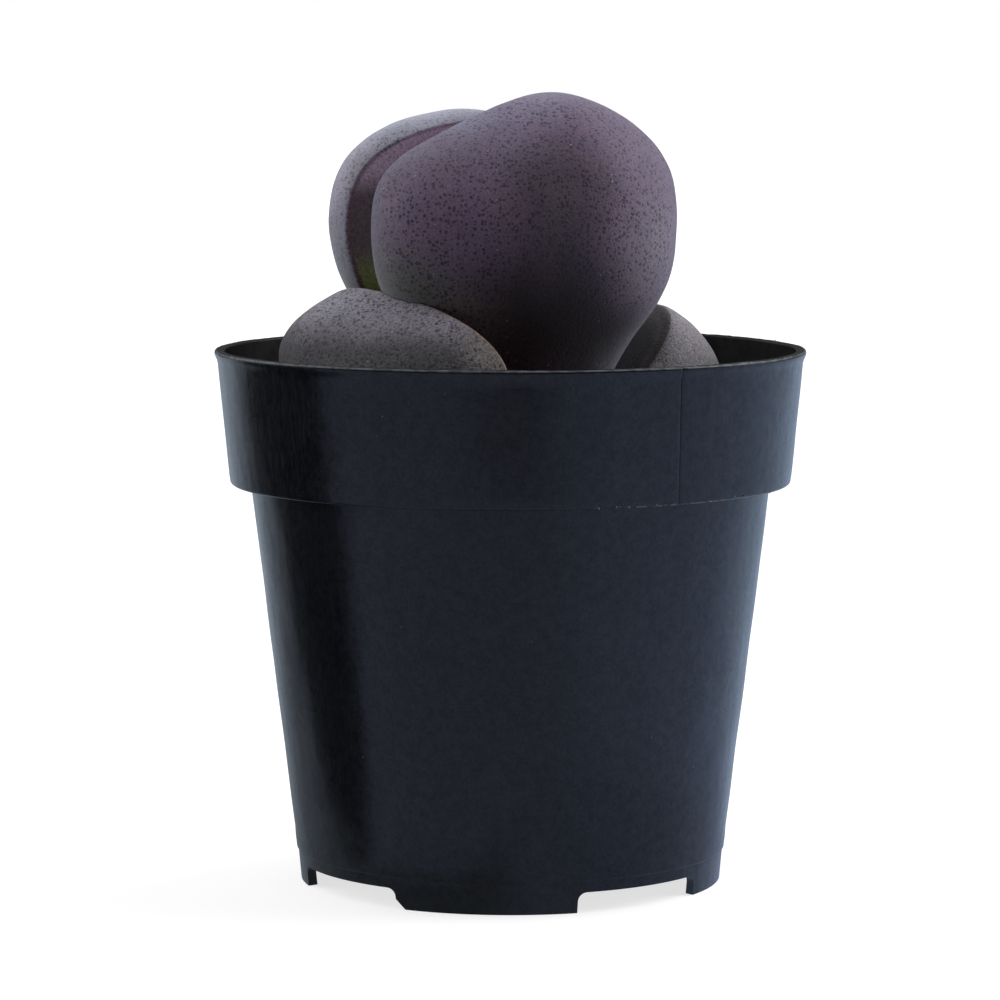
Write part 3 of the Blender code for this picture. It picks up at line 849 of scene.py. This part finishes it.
# %% Cutters for the notches, the holes and the lost corner
NOTCH_WIDTH = 16.1 * MM
NOTCH_HEIGHT = 2.22 * MM
NOTCH_CORNER = 0.9 * MM
NOTCH_FIRST = math.radians(-52)
NOTCHES = 4
DRAIN_RADIUS = 3.0 * MM
DRAIN_CIRCLE = 15.5 * MM
DRAIN_DEPTH = 4 * MM
CHIP_DEPTH = 0.88 * MM
CHIP_TILT = math.radians(-43)
BELOW = 2 * MM


def notch_block():
    """A block across the foot ring at +X, its upper corners rounded."""
    bm = bmesh.new()
    bmesh.ops.create_cube(bm, size=1)
    size = Vector((5 * MM, NOTCH_WIDTH, NOTCH_HEIGHT + BELOW))
    bmesh.ops.scale(bm, vec=size, verts=bm.verts)
    edges = [e for e in bm.edges if all(v.co.z > 0 for v in e.verts)
             and abs(e.verts[0].co.y - e.verts[1].co.y) < MM]
    bmesh.ops.bevel(bm, geom=edges, offset=NOTCH_CORNER, segments=5, profile=0.5, affect="EDGES")
    lift = NOTCH_HEIGHT - size.z / 2
    bmesh.ops.translate(bm, vec=(FOOT_RADIUS - FOOT_WALL / 2, 0, lift), verts=bm.verts)
    return mesh_of("notch_block", bm)


def drain_plug(place):
    """A round bar through the pot's floor, this far out along X."""
    bm = bmesh.new()
    bmesh.ops.create_cone(bm, cap_ends=True, segments=40, radius1=DRAIN_RADIUS, radius2=DRAIN_RADIUS,
                          depth=DRAIN_DEPTH)
    bmesh.ops.translate(bm, vec=(place, 0, (FLOOR_LOW_Z + FLOOR_TOP_Z) / 2), verts=bm.verts)
    return mesh_of("drain_plug", bm)


def lost_corner_block():
    """A block tilted against the lower left corner of the foot that faces front."""
    size = 4 * MM
    bm = bmesh.new()
    bmesh.ops.create_cube(bm, size=size)
    bmesh.ops.translate(bm, vec=(0, 0, CHIP_DEPTH - size / 2), verts=bm.verts)
    mesh = mesh_of("lost_corner_block", bm)
    foot_end = NOTCH_FIRST - math.pi / 2 + NOTCH_WIDTH / 2 / FOOT_RADIUS
    mesh.transform(Matrix.Rotation(CHIP_TILT, 4, "X"))
    mesh.transform(Matrix.Translation((FOOT_RADIUS - FOOT_WALL / 2, 0, 0)))
    mesh.transform(Matrix.Rotation(foot_end, 4, "Z"))
    return mesh


around_axis = around_axis_tree(plastic)
spread = {"Copies": NOTCHES, "First turn": NOTCH_FIRST}
cutters = [
    grow(around_axis, notch_block(), spread),
    grow(around_axis, drain_plug(DRAIN_CIRCLE), spread),
    drain_plug(0),
    lost_corner_block(),
]


# %% Cut the pot and dress it
def cut_mesh(mesh, cutter_meshes):
    """The mesh with the cutters' space taken out of it."""
    body = in_scene("to_cut", mesh)
    blocks = [in_scene("cutter", cutter) for cutter in cutter_meshes]
    for block in blocks:
        step = body.modifiers.new("cut", "BOOLEAN")
        step.operation, step.solver, step.object = "DIFFERENCE", "EXACT", block
    graph = bpy.context.evaluated_depsgraph_get()
    result = bpy.data.meshes.new_from_object(body.evaluated_get(graph))
    for used in (body, *blocks):
        bpy.data.objects.remove(used)
    return result


pot_mesh = cut_mesh(pot_mesh, cutters)
add_piece("nursery_pot_shell", pot_mesh, plastic, "nursery_pot", sharp=35)
pot_mesh.materials.append(soiled.material)
within = [value.value > 0.5 for value in pot_mesh.attributes["inside"].data]
for face in pot_mesh.polygons:
    face.material_index = int(all(within[v] for v in face.vertices))
print("soil has dulled", sum(face.material_index for face in pot_mesh.polygons), "faces inside")

# %% [markdown]
# ## The potting mix
#
# This plant wants a gritty mix: peat and coir with pumice and sharp grit. The bed under it is
# a turned body like the CAD one, its top a fine grid of rings with lumps of two sizes. Where a
# leaf sits, the top is pressed down to just under the leaf.

# %% Mix bed
GAP = 0.3 * MM
MIX_LEVEL = 50.4 * MM
MIX_TURNS = 200

brim = collar_radius(MIX_LEVEL) - WALL - GAP
mix_top = between((0.35 * MM, MIX_LEVEL), (brim, MIX_LEVEL), 90)
mix_side = [(brim, MIX_LEVEL), (collar_radius(LEDGE_Z) - WALL - GAP, LEDGE_Z + ROUNDING + GAP),
            (BODY_TOP_RADIUS - WALL / 2 - GAP, LEDGE_Z + GAP),
            (body_radius(COLLAR_FOOT_Z - WALL) - WALL - GAP, COLLAR_FOOT_Z - WALL),
            (floor_side - GAP, FLOOR_TOP_Z + FLOOR_CORNER + GAP),
            (floor_side - FLOOR_CORNER, FLOOR_TOP_Z + GAP)]
mix_profile = [(0, MIX_LEVEL), *mix_top, *mix_side, (0, FLOOR_TOP_Z + GAP)]
mix_turns = np.linspace(-math.pi, math.pi, MIX_TURNS, endpoint=False)
points, faces = lathe(mix_profile, mix_turns)
print("the mix bed has", len(points), "points")

# %% Lumps, and hollows under the leaves
HAIR = 0.01 * MM
GRAINLESS_EDGE = 0.9 * MM
MIX_WAVES = (6.1 * MM, 7.3 * MM)
PRESSING_STEP = 0.4 * MM


def under_leaves(points, clearance):
    """Lowers the points that lie in a leaf, straight down, until they are clear of all."""
    lowered = points.copy()
    for _ in range(30):
        held = np.zeros(len(points), bool)
        for leaf in LEAVES.values():
            held |= leaf.holds(lowered, clearance)
        lowered[held, 2] -= PRESSING_STEP
    return lowered


on_top = points[:, 2] > MIX_LEVEL - HAIR
top = points[on_top]
waves = 0.5 * MM * np.sin(top[:, 0] / MIX_WAVES[0]) * np.cos(top[:, 1] / MIX_WAVES[1])
top[:, 2] += waves + ripple(top, 2.4, 0.55, 11) + ripple(top, 0.9, 0.25, 12) - 0.25 * MM
pressed = under_leaves(top, GAP)
points[on_top] = pressed
mix_mesh = mesh_from("mix_bed", points, faces)
free_of_leaves = top[:, 2] - pressed[:, 2] < HAIR
free_of_wall = np.hypot(top[:, 0], top[:, 1]) < brim - GRAINLESS_EDGE
open_ground = np.zeros(len(points))
open_ground[on_top] = free_of_leaves & free_of_wall
paint(mix_mesh, "open_ground", open_ground)
print("leaves press down", int((pressed[:, 2] < top[:, 2]).sum()), "points of the bed")

# %% Peat
peat = Finish("peat", {"Specular IOR Level": 0.2})
fine = peat.noise(0.5, 5, rough=0.7)
tone = peat.mix(fine, (0.012, 0.008, 0.005), (0.075, 0.052, 0.034))
tone = peat.mix(peat.ramp(peat.noise(3, 3), 0.5, 0.65) * 0.6, tone, (0.045, 0.030, 0.019))
peat.feed("Base Color", tone)
peat.feed("Roughness", 0.82 + fine * 0.15)
peat.feed("Normal", peat.bump(fine, 0.3, 0.8))
add_piece("potting_mix_bed", mix_mesh, peat, "potting_mix", sharp=60)

# %% [markdown]
# ## Grains on the bed
#
# Pumice, grit and crumbs of peat lie on the bed. A grain is the hull of a few random points,
# which gives flat chips with sharp edges, like crushed stone. One Geometry Nodes tree strews
# them: points on the faces where the ground is open, a grain on each, turned and sized at
# random from a fixed seed.

# %% Grains and the tree that strews them
def grain_mesh(name, flatness, corners, seed):
    """A hull about 1 mm across."""
    chance = np.random.default_rng(seed)
    places = rows_to_unit(chance.normal(size=(corners, 3)))[0] * [0.5, 0.5, 0.5 * flatness]
    bm = bmesh.new()
    for place in places:
        bm.verts.new(place * MM)
    hull = bmesh.ops.convex_hull(bm, input=bm.verts)
    bmesh.ops.delete(bm, geom=[v for v in hull["geom_interior"]], context="VERTS")
    bmesh.ops.recalc_face_normals(bm, faces=bm.faces)
    return mesh_of(name, bm)


def strewing_tree(finish):
    """Grains on open ground, most of them small, sunk or lifted by a share of their size."""
    sockets = {"Grain": "Object", "Per square cm": "Float", "Seed": "Int", "Smallest": "Float",
               "Largest": "Float", "Lift": "Float"}
    tree, given = geometry_tree("strew_" + finish.material.name, sockets)
    seed = given.out("Seed")
    share = tree.node("GeometryNodeInputNamedAttribute", {"data_type": "FLOAT"}, {"Name": "open_ground"})
    density = share * given.out("Per square cm") * 1e4
    spots = tree.node("GeometryNodeDistributePointsOnFaces", {"distribute_method": "RANDOM"},
                      {"Mesh": given.out("Geometry"), "Density": density, "Seed": seed})
    spin = tree.node("FunctionNodeRandomValue", {"data_type": "FLOAT_VECTOR"},
                     {1: (math.tau, math.tau, math.tau), "Seed": seed})
    number_output = 1    # this node has an output for each type of value
    draw = tree.node("FunctionNodeRandomValue", {"data_type": "FLOAT"}, {"Seed": seed + 1}, number_output)
    size = given.out("Smallest") + draw ** 2.5 * (given.out("Largest") - given.out("Smallest"))
    grain = tree.node("GeometryNodeObjectInfo", inputs={"Object": given.out("Grain")}).out("Geometry")
    strewn = tree.node("GeometryNodeInstanceOnPoints", inputs={
        "Points": spots, "Instance": grain, "Rotation": spin, "Scale": size})
    rise = tree.node("ShaderNodeCombineXYZ", inputs={"Z": size * given.out("Lift") * MM})
    strewn = tree.node("GeometryNodeTranslateInstances", inputs={
        "Instances": strewn, "Translation": rise, "Local Space": False})
    close_tree(tree, strewn, finish)
    return tree


def strew(name, ground, finish, grain, values):
    """Strews one kind of grain on a mesh and shows it as a piece."""
    model = bpy.data.objects.new(name + "_grain", grain)
    mesh = grow(strewing_tree(finish), ground, {"Grain": model, **values})
    bpy.data.objects.remove(model)
    mesh.name = name
    return add_piece(name, mesh, finish, sharp=20)


def stone(name, dark, light, roughness, shine=0.3):
    """Finish for grains: a tone per place and a fine speckle."""
    finish = Finish(name, {"Specular IOR Level": shine})
    speckle = finish.noise(0.25, 4, rough=0.7)
    tone = finish.mix(finish.ramp(finish.noise(1.6, 1), 0.35, 0.65), dark, light)
    tone = finish.mix(finish.ramp(speckle, 0.55, 0.7) * 0.5, tone, tuple(0.35 * c for c in dark))
    finish.feed("Base Color", tone)
    finish.feed("Roughness", roughness + speckle * 0.1)
    finish.feed("Normal", finish.bump(speckle, 0.12, 0.7))
    return finish


# %% Pumice, grit and peat
pumice = stone("pumice", (0.30, 0.27, 0.22), (0.52, 0.49, 0.43), 0.85)
strew("pumice_grains", mix_mesh, pumice, grain_mesh("pumice", 0.8, 22, 5),
      {"Per square cm": 11.0, "Seed": 3, "Smallest": 0.7, "Largest": 3.2, "Lift": 0.2})
sharp_grit = stone("grit", (0.10, 0.075, 0.06), (0.24, 0.19, 0.15), 0.7)
strew("grit_grains", mix_mesh, sharp_grit, grain_mesh("grit", 0.65, 16, 9),
      {"Per square cm": 26.0, "Seed": 4, "Smallest": 0.5, "Largest": 2.4, "Lift": 0.15})
crumb = stone("peat_crumb", (0.012, 0.008, 0.006), (0.05, 0.034, 0.022), 0.9)
strew("peat_crumbs", mix_mesh, crumb, grain_mesh("peat_crumb", 0.75, 14, 12),
      {"Per square cm": 60.0, "Seed": 5, "Smallest": 0.4, "Largest": 1.9, "Lift": 0.1})

# %% [markdown]
# ## The stem
#
# Leaves of this plant sit on a crown so short that it hardly shows. The CAD solid has the
# right shape and mostly lies hidden, so it stays, and gets bark below and green above.

# %% Stem finish
bark = Finish("stem_bark", {"Specular IOR Level": 0.3})
fibre = bark.noise(0.6, 5, stretch=(1, 1, 5), rough=0.65)
tone = bark.mix(fibre, (0.035, 0.022, 0.014), (0.16, 0.11, 0.07))
green_part = bark.ramp(bark.axis("Z") + fibre * 2, 50.5, 53)
tone = bark.mix(green_part * 0.8, tone, bark.mix(fibre, (0.05, 0.07, 0.025), (0.12, 0.14, 0.06)))
bark.feed("Base Color", tone)
bark.feed("Roughness", 0.85 - green_part * 0.25)
bark.feed("Normal", bark.bump(fibre, 0.15, 0.7))
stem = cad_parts["stem_and_taproot"]
for holder in stem.material_slots:
    holder.material = bark.material
print("stem has", len(stem.data.polygons), "faces and keeps its CAD mesh")

# %% [markdown]
# ## What use leaves on the pot
#
# Hard water and soil dry to a crust under the collar, where drops hang. Small burrs stay on the
# rim where the mould closed, and a few crumbs of soil lie there. All are grains too fine to draw
# one by one, so the strewing tree puts them on narrow bands of the pot's surface.

# %% Lime under the collar
def band(name, start, end, spans):
    """A strip of the pot's surface between two (r, z) points, over spans of angle in degrees."""
    points, faces = [], []
    for low, high in spans:
        turns = np.radians(np.linspace(low, high, max(3, int((high - low) / 2))))
        first = len(points)
        for turn in turns:
            for r, z in (start, end):
                points.append((r * math.cos(turn), r * math.sin(turn), z))
        for i in range(len(turns) - 1):
            a = first + 2 * i
            faces.append((a, a + 2, a + 3, a + 1))
    mesh = mesh_from(name, points, faces)
    paint(mesh, "open_ground", np.ones(len(points)))
    return mesh


lime_edge = band("lime_band", (COLLAR_FOOT_RADIUS - 0.20 * MM, COLLAR_FOOT_Z + 0.05 * MM),
                 (COLLAR_FOOT_RADIUS - 0.02 * MM, COLLAR_FOOT_Z + 0.35 * MM), [(-75, -20)])
lime = stone("lime", (0.20, 0.17, 0.11), (0.42, 0.40, 0.36), 0.9)
strew("lime_crust", lime_edge, lime, grain_mesh("lime", 0.6, 12, 21),
      {"Per square cm": 500.0, "Seed": 8, "Smallest": 0.06, "Largest": 0.26, "Lift": -0.1})

# %% Crumbs and burrs on the rim
crumb_edge = band("crumb_band", (RIM_RADIUS - 0.7 * MM, RIM_Z - 0.10 * MM),
                  (RIM_RADIUS - 0.45 * MM, RIM_Z - 0.10 * MM),
                  [(-135, -132.5), (-81.4, -80.6), (-73.6, -72.8), (-67, -66), (-120, -119), (20, 30)])
rim_soil = stone("rim_soil", (0.10, 0.07, 0.04), (0.40, 0.36, 0.30), 0.9)
strew("rim_crumbs", crumb_edge, rim_soil, grain_mesh("rim_soil", 0.6, 12, 23),
      {"Per square cm": 300.0, "Seed": 6, "Smallest": 0.12, "Largest": 0.42, "Lift": 0.1})
burr_edge = band("burr_band", (RIM_RADIUS - 0.5 * MM, RIM_Z - 0.12 * MM),
                 (RIM_RADIUS - 0.25 * MM, RIM_Z - 0.14 * MM),
                 [(40, 75), (80, 140), (-150, -120), (-68, -40)])
strew("rim_burrs", burr_edge, plastic, grain_mesh("burr", 0.7, 12, 31),
      {"Per square cm": 60.0, "Seed": 10, "Smallest": 0.15, "Largest": 0.5, "Lift": 0.0})

# %% [markdown]
# ## Floor, light and camera
#
# A pale floor in a light tent, with a soft lamp high on either side, a lit backdrop and a dim
# front. The pot tapers, so its wall mirrors the floor, which glows to mirrored rays alone with
# painted reflections: white paper behind, darker far in front, cool daylight on the right, a
# painted shadow beside the pot, and at the left a dark painted band where the paper would end,
# which draws a dark band down the wall. Tent and floor are white to the camera alone, so that
# they do not flood the dark pot with light.

# %% A patch of directions
def patch(tree, direction, towards, full, none):
    """1 within an angle of a direction, 0 beyond another, in degrees."""
    axis = tuple(Vector(towards).normalized())
    settings = {"operation": "DOT_PRODUCT"}
    nearness = tree.node("ShaderNodeVectorMath", settings, {0: direction, 1: axis}, "Value")
    return tree.ramp(nearness, math.cos(math.radians(none)), math.cos(math.radians(full)))


# %% Studio floor
FRONT_PAPER, FRONT_DARK_REFLECTION = (0.33, 0.38, 0.52), (0.153, 0.168, 0.226)
DAYLIGHT, BACK_DAYLIGHT = (0.43, 0.54, 0.79), (0.43, 0.55, 0.74)
PAINTED_POT_SHADOW, PAINTED_DARK_BAND = (0.26, 0.31, 0.44), (0.02, 0.02, 0.03)
BACKDROP_LOW, BACKDROP_HIGH = (0.19, 0.22, 0.26), (0.44, 0.52, 0.62)
PAPER_GREY, PAPER_GLOW = (0.4, 0.4, 0.4), (0.72, 0.72, 0.72)
NONE = (0, 0, 0)
PAPER_SLANT, GAP_SLANT = 0.22, 0.78


def painted_reflections(floor):
    """Painted reflections: the floor's glow to glossy rays alone, with paper, daylight, a painted pot
    shadow and a dark band at the left.
    """
    outward = floor.node("ShaderNodeVectorMath", {"operation": "NORMALIZE"}, {0: floor.place})
    x, y = floor.axis("X"), floor.axis("Y")
    # Glows seen only in reflections: paper in front, darker far in front, and daylight on the right.
    tone = floor.mix(floor.near((8, -300, 0), 70, 145), FRONT_PAPER, FRONT_DARK_REFLECTION)
    tone = floor.mix(patch(floor, outward, (0.96, 0.25, 0), 52, 100), tone, DAYLIGHT)
    # A painted shadow of the pot on the floor to its right, seen only in reflections.
    beside_pot = floor.near((0, 0, 0), 38, 75) * floor.ramp(x, 0, 15)
    tone = floor.mix(beside_pot * 0.6, tone, PAINTED_POT_SHADOW)
    tone = floor.mix(patch(floor, outward, (0.50, 0.87, 0), 10, 40), tone, BACK_DAYLIGHT)
    left_half = floor.ramp(x / (5 + floor.ramp(y, 0, 60) * 30), 1, -1)
    past_paper = floor.ramp(y - x * PAPER_SLANT, -17, -11)
    past_gap = floor.ramp(y + x * GAP_SLANT, -46, -40)
    backdrop = floor.mix(floor.ramp(y + x * GAP_SLANT, -43, 110), BACKDROP_LOW, BACKDROP_HIGH)
    # At the left a dark band is painted where the paper would end, seen only in reflections.
    tone = floor.mix(left_half * past_paper, tone, PAINTED_DARK_BAND)
    return floor.mix(left_half * past_gap, tone, backdrop)


def studio_floor():
    floor = Finish("floor", {"Roughness": 0.9, "Specular IOR Level": 0.0, "Emission Strength": 1.0})
    bm = bmesh.new()
    bmesh.ops.create_grid(bm, x_segments=1, y_segments=1, size=4)
    mesh = mesh_of("floor", bm)
    mesh.materials.append(floor.material)
    path = floor.node("ShaderNodeLightPath")
    seen, mirrored = path.out("Is Camera Ray"), path.out("Is Glossy Ray")
    floor.feed("Base Color", floor.mix(mirrored, PAPER_GREY, NONE))
    glow = floor.mix(seen, NONE, PAPER_GLOW)
    # To glossy rays the floor glows with painted reflections; to the camera it glows an even white.
    floor.feed("Emission Color", floor.mix(mirrored, glow, painted_reflections(floor)))
    in_scene("floor", mesh)


studio_floor()


# %% Light tent
LEFT_LAMP, RIGHT_LAMP, TOP_LIGHT, TENT_GLOW = 3.4, 7.0, 0.56, 0.05
LAMPS_HIDDEN, BACK_HIDDEN = 0.9, 0.98


def studio_world():
    """White to the camera; lamps and a lit back to the rest, dim where glossy skin mirrors them."""
    world = bpy.data.worlds.new("light_tent")
    world.use_nodes = True
    bpy.context.scene.world = world
    tree = Tree(world.node_tree)
    tree.tree.nodes.clear()
    ray = tree.node("ShaderNodeTexCoord").out("Generated")
    left = patch(tree, ray, (-0.87, 0.38, 0.31), 5, 45)
    right = patch(tree, ray, (0.82, 0.28, 0.46), 5, 34)
    above = patch(tree, ray, (0, 0.3, 0.95), 15, 65)
    behind = patch(tree, ray, (0, 1, 0.1), 30, 60)
    path = tree.node("ShaderNodeLightPath")
    seen, mirrored = path.out("Is Camera Ray"), path.out("Is Glossy Ray")
    lamps = left * LEFT_LAMP + right * RIGHT_LAMP + above * TOP_LIGHT
    lamps = lamps * (1 - mirrored * LAMPS_HIDDEN)
    tent = TENT_GLOW + lamps + behind * (1 - mirrored * BACK_HIDDEN)
    strength = tent * (1 - seen) + seen
    background = tree.node("ShaderNodeBackground", inputs={"Color": (1, 1, 1), "Strength": strength})
    tree.node("ShaderNodeOutputWorld", inputs={"Surface": background})


studio_world()

# %% Camera
CAMERA_PLACE = (-1.15 * MM, -480 * MM, 93.08 * MM)
LOOKING_DOWN = math.radians(6.102)

camera = bpy.data.cameras.new("camera")
camera.sensor_width = 36
camera.lens = 157.71
camera.clip_start = 0.01
viewer = in_scene("camera", camera)
viewer.location = CAMERA_PLACE
viewer.rotation_euler = (math.pi / 2 - LOOKING_DOWN, 0, 0)
bpy.context.scene.camera = viewer
bpy.context.scene.view_settings.view_transform = "Standard"
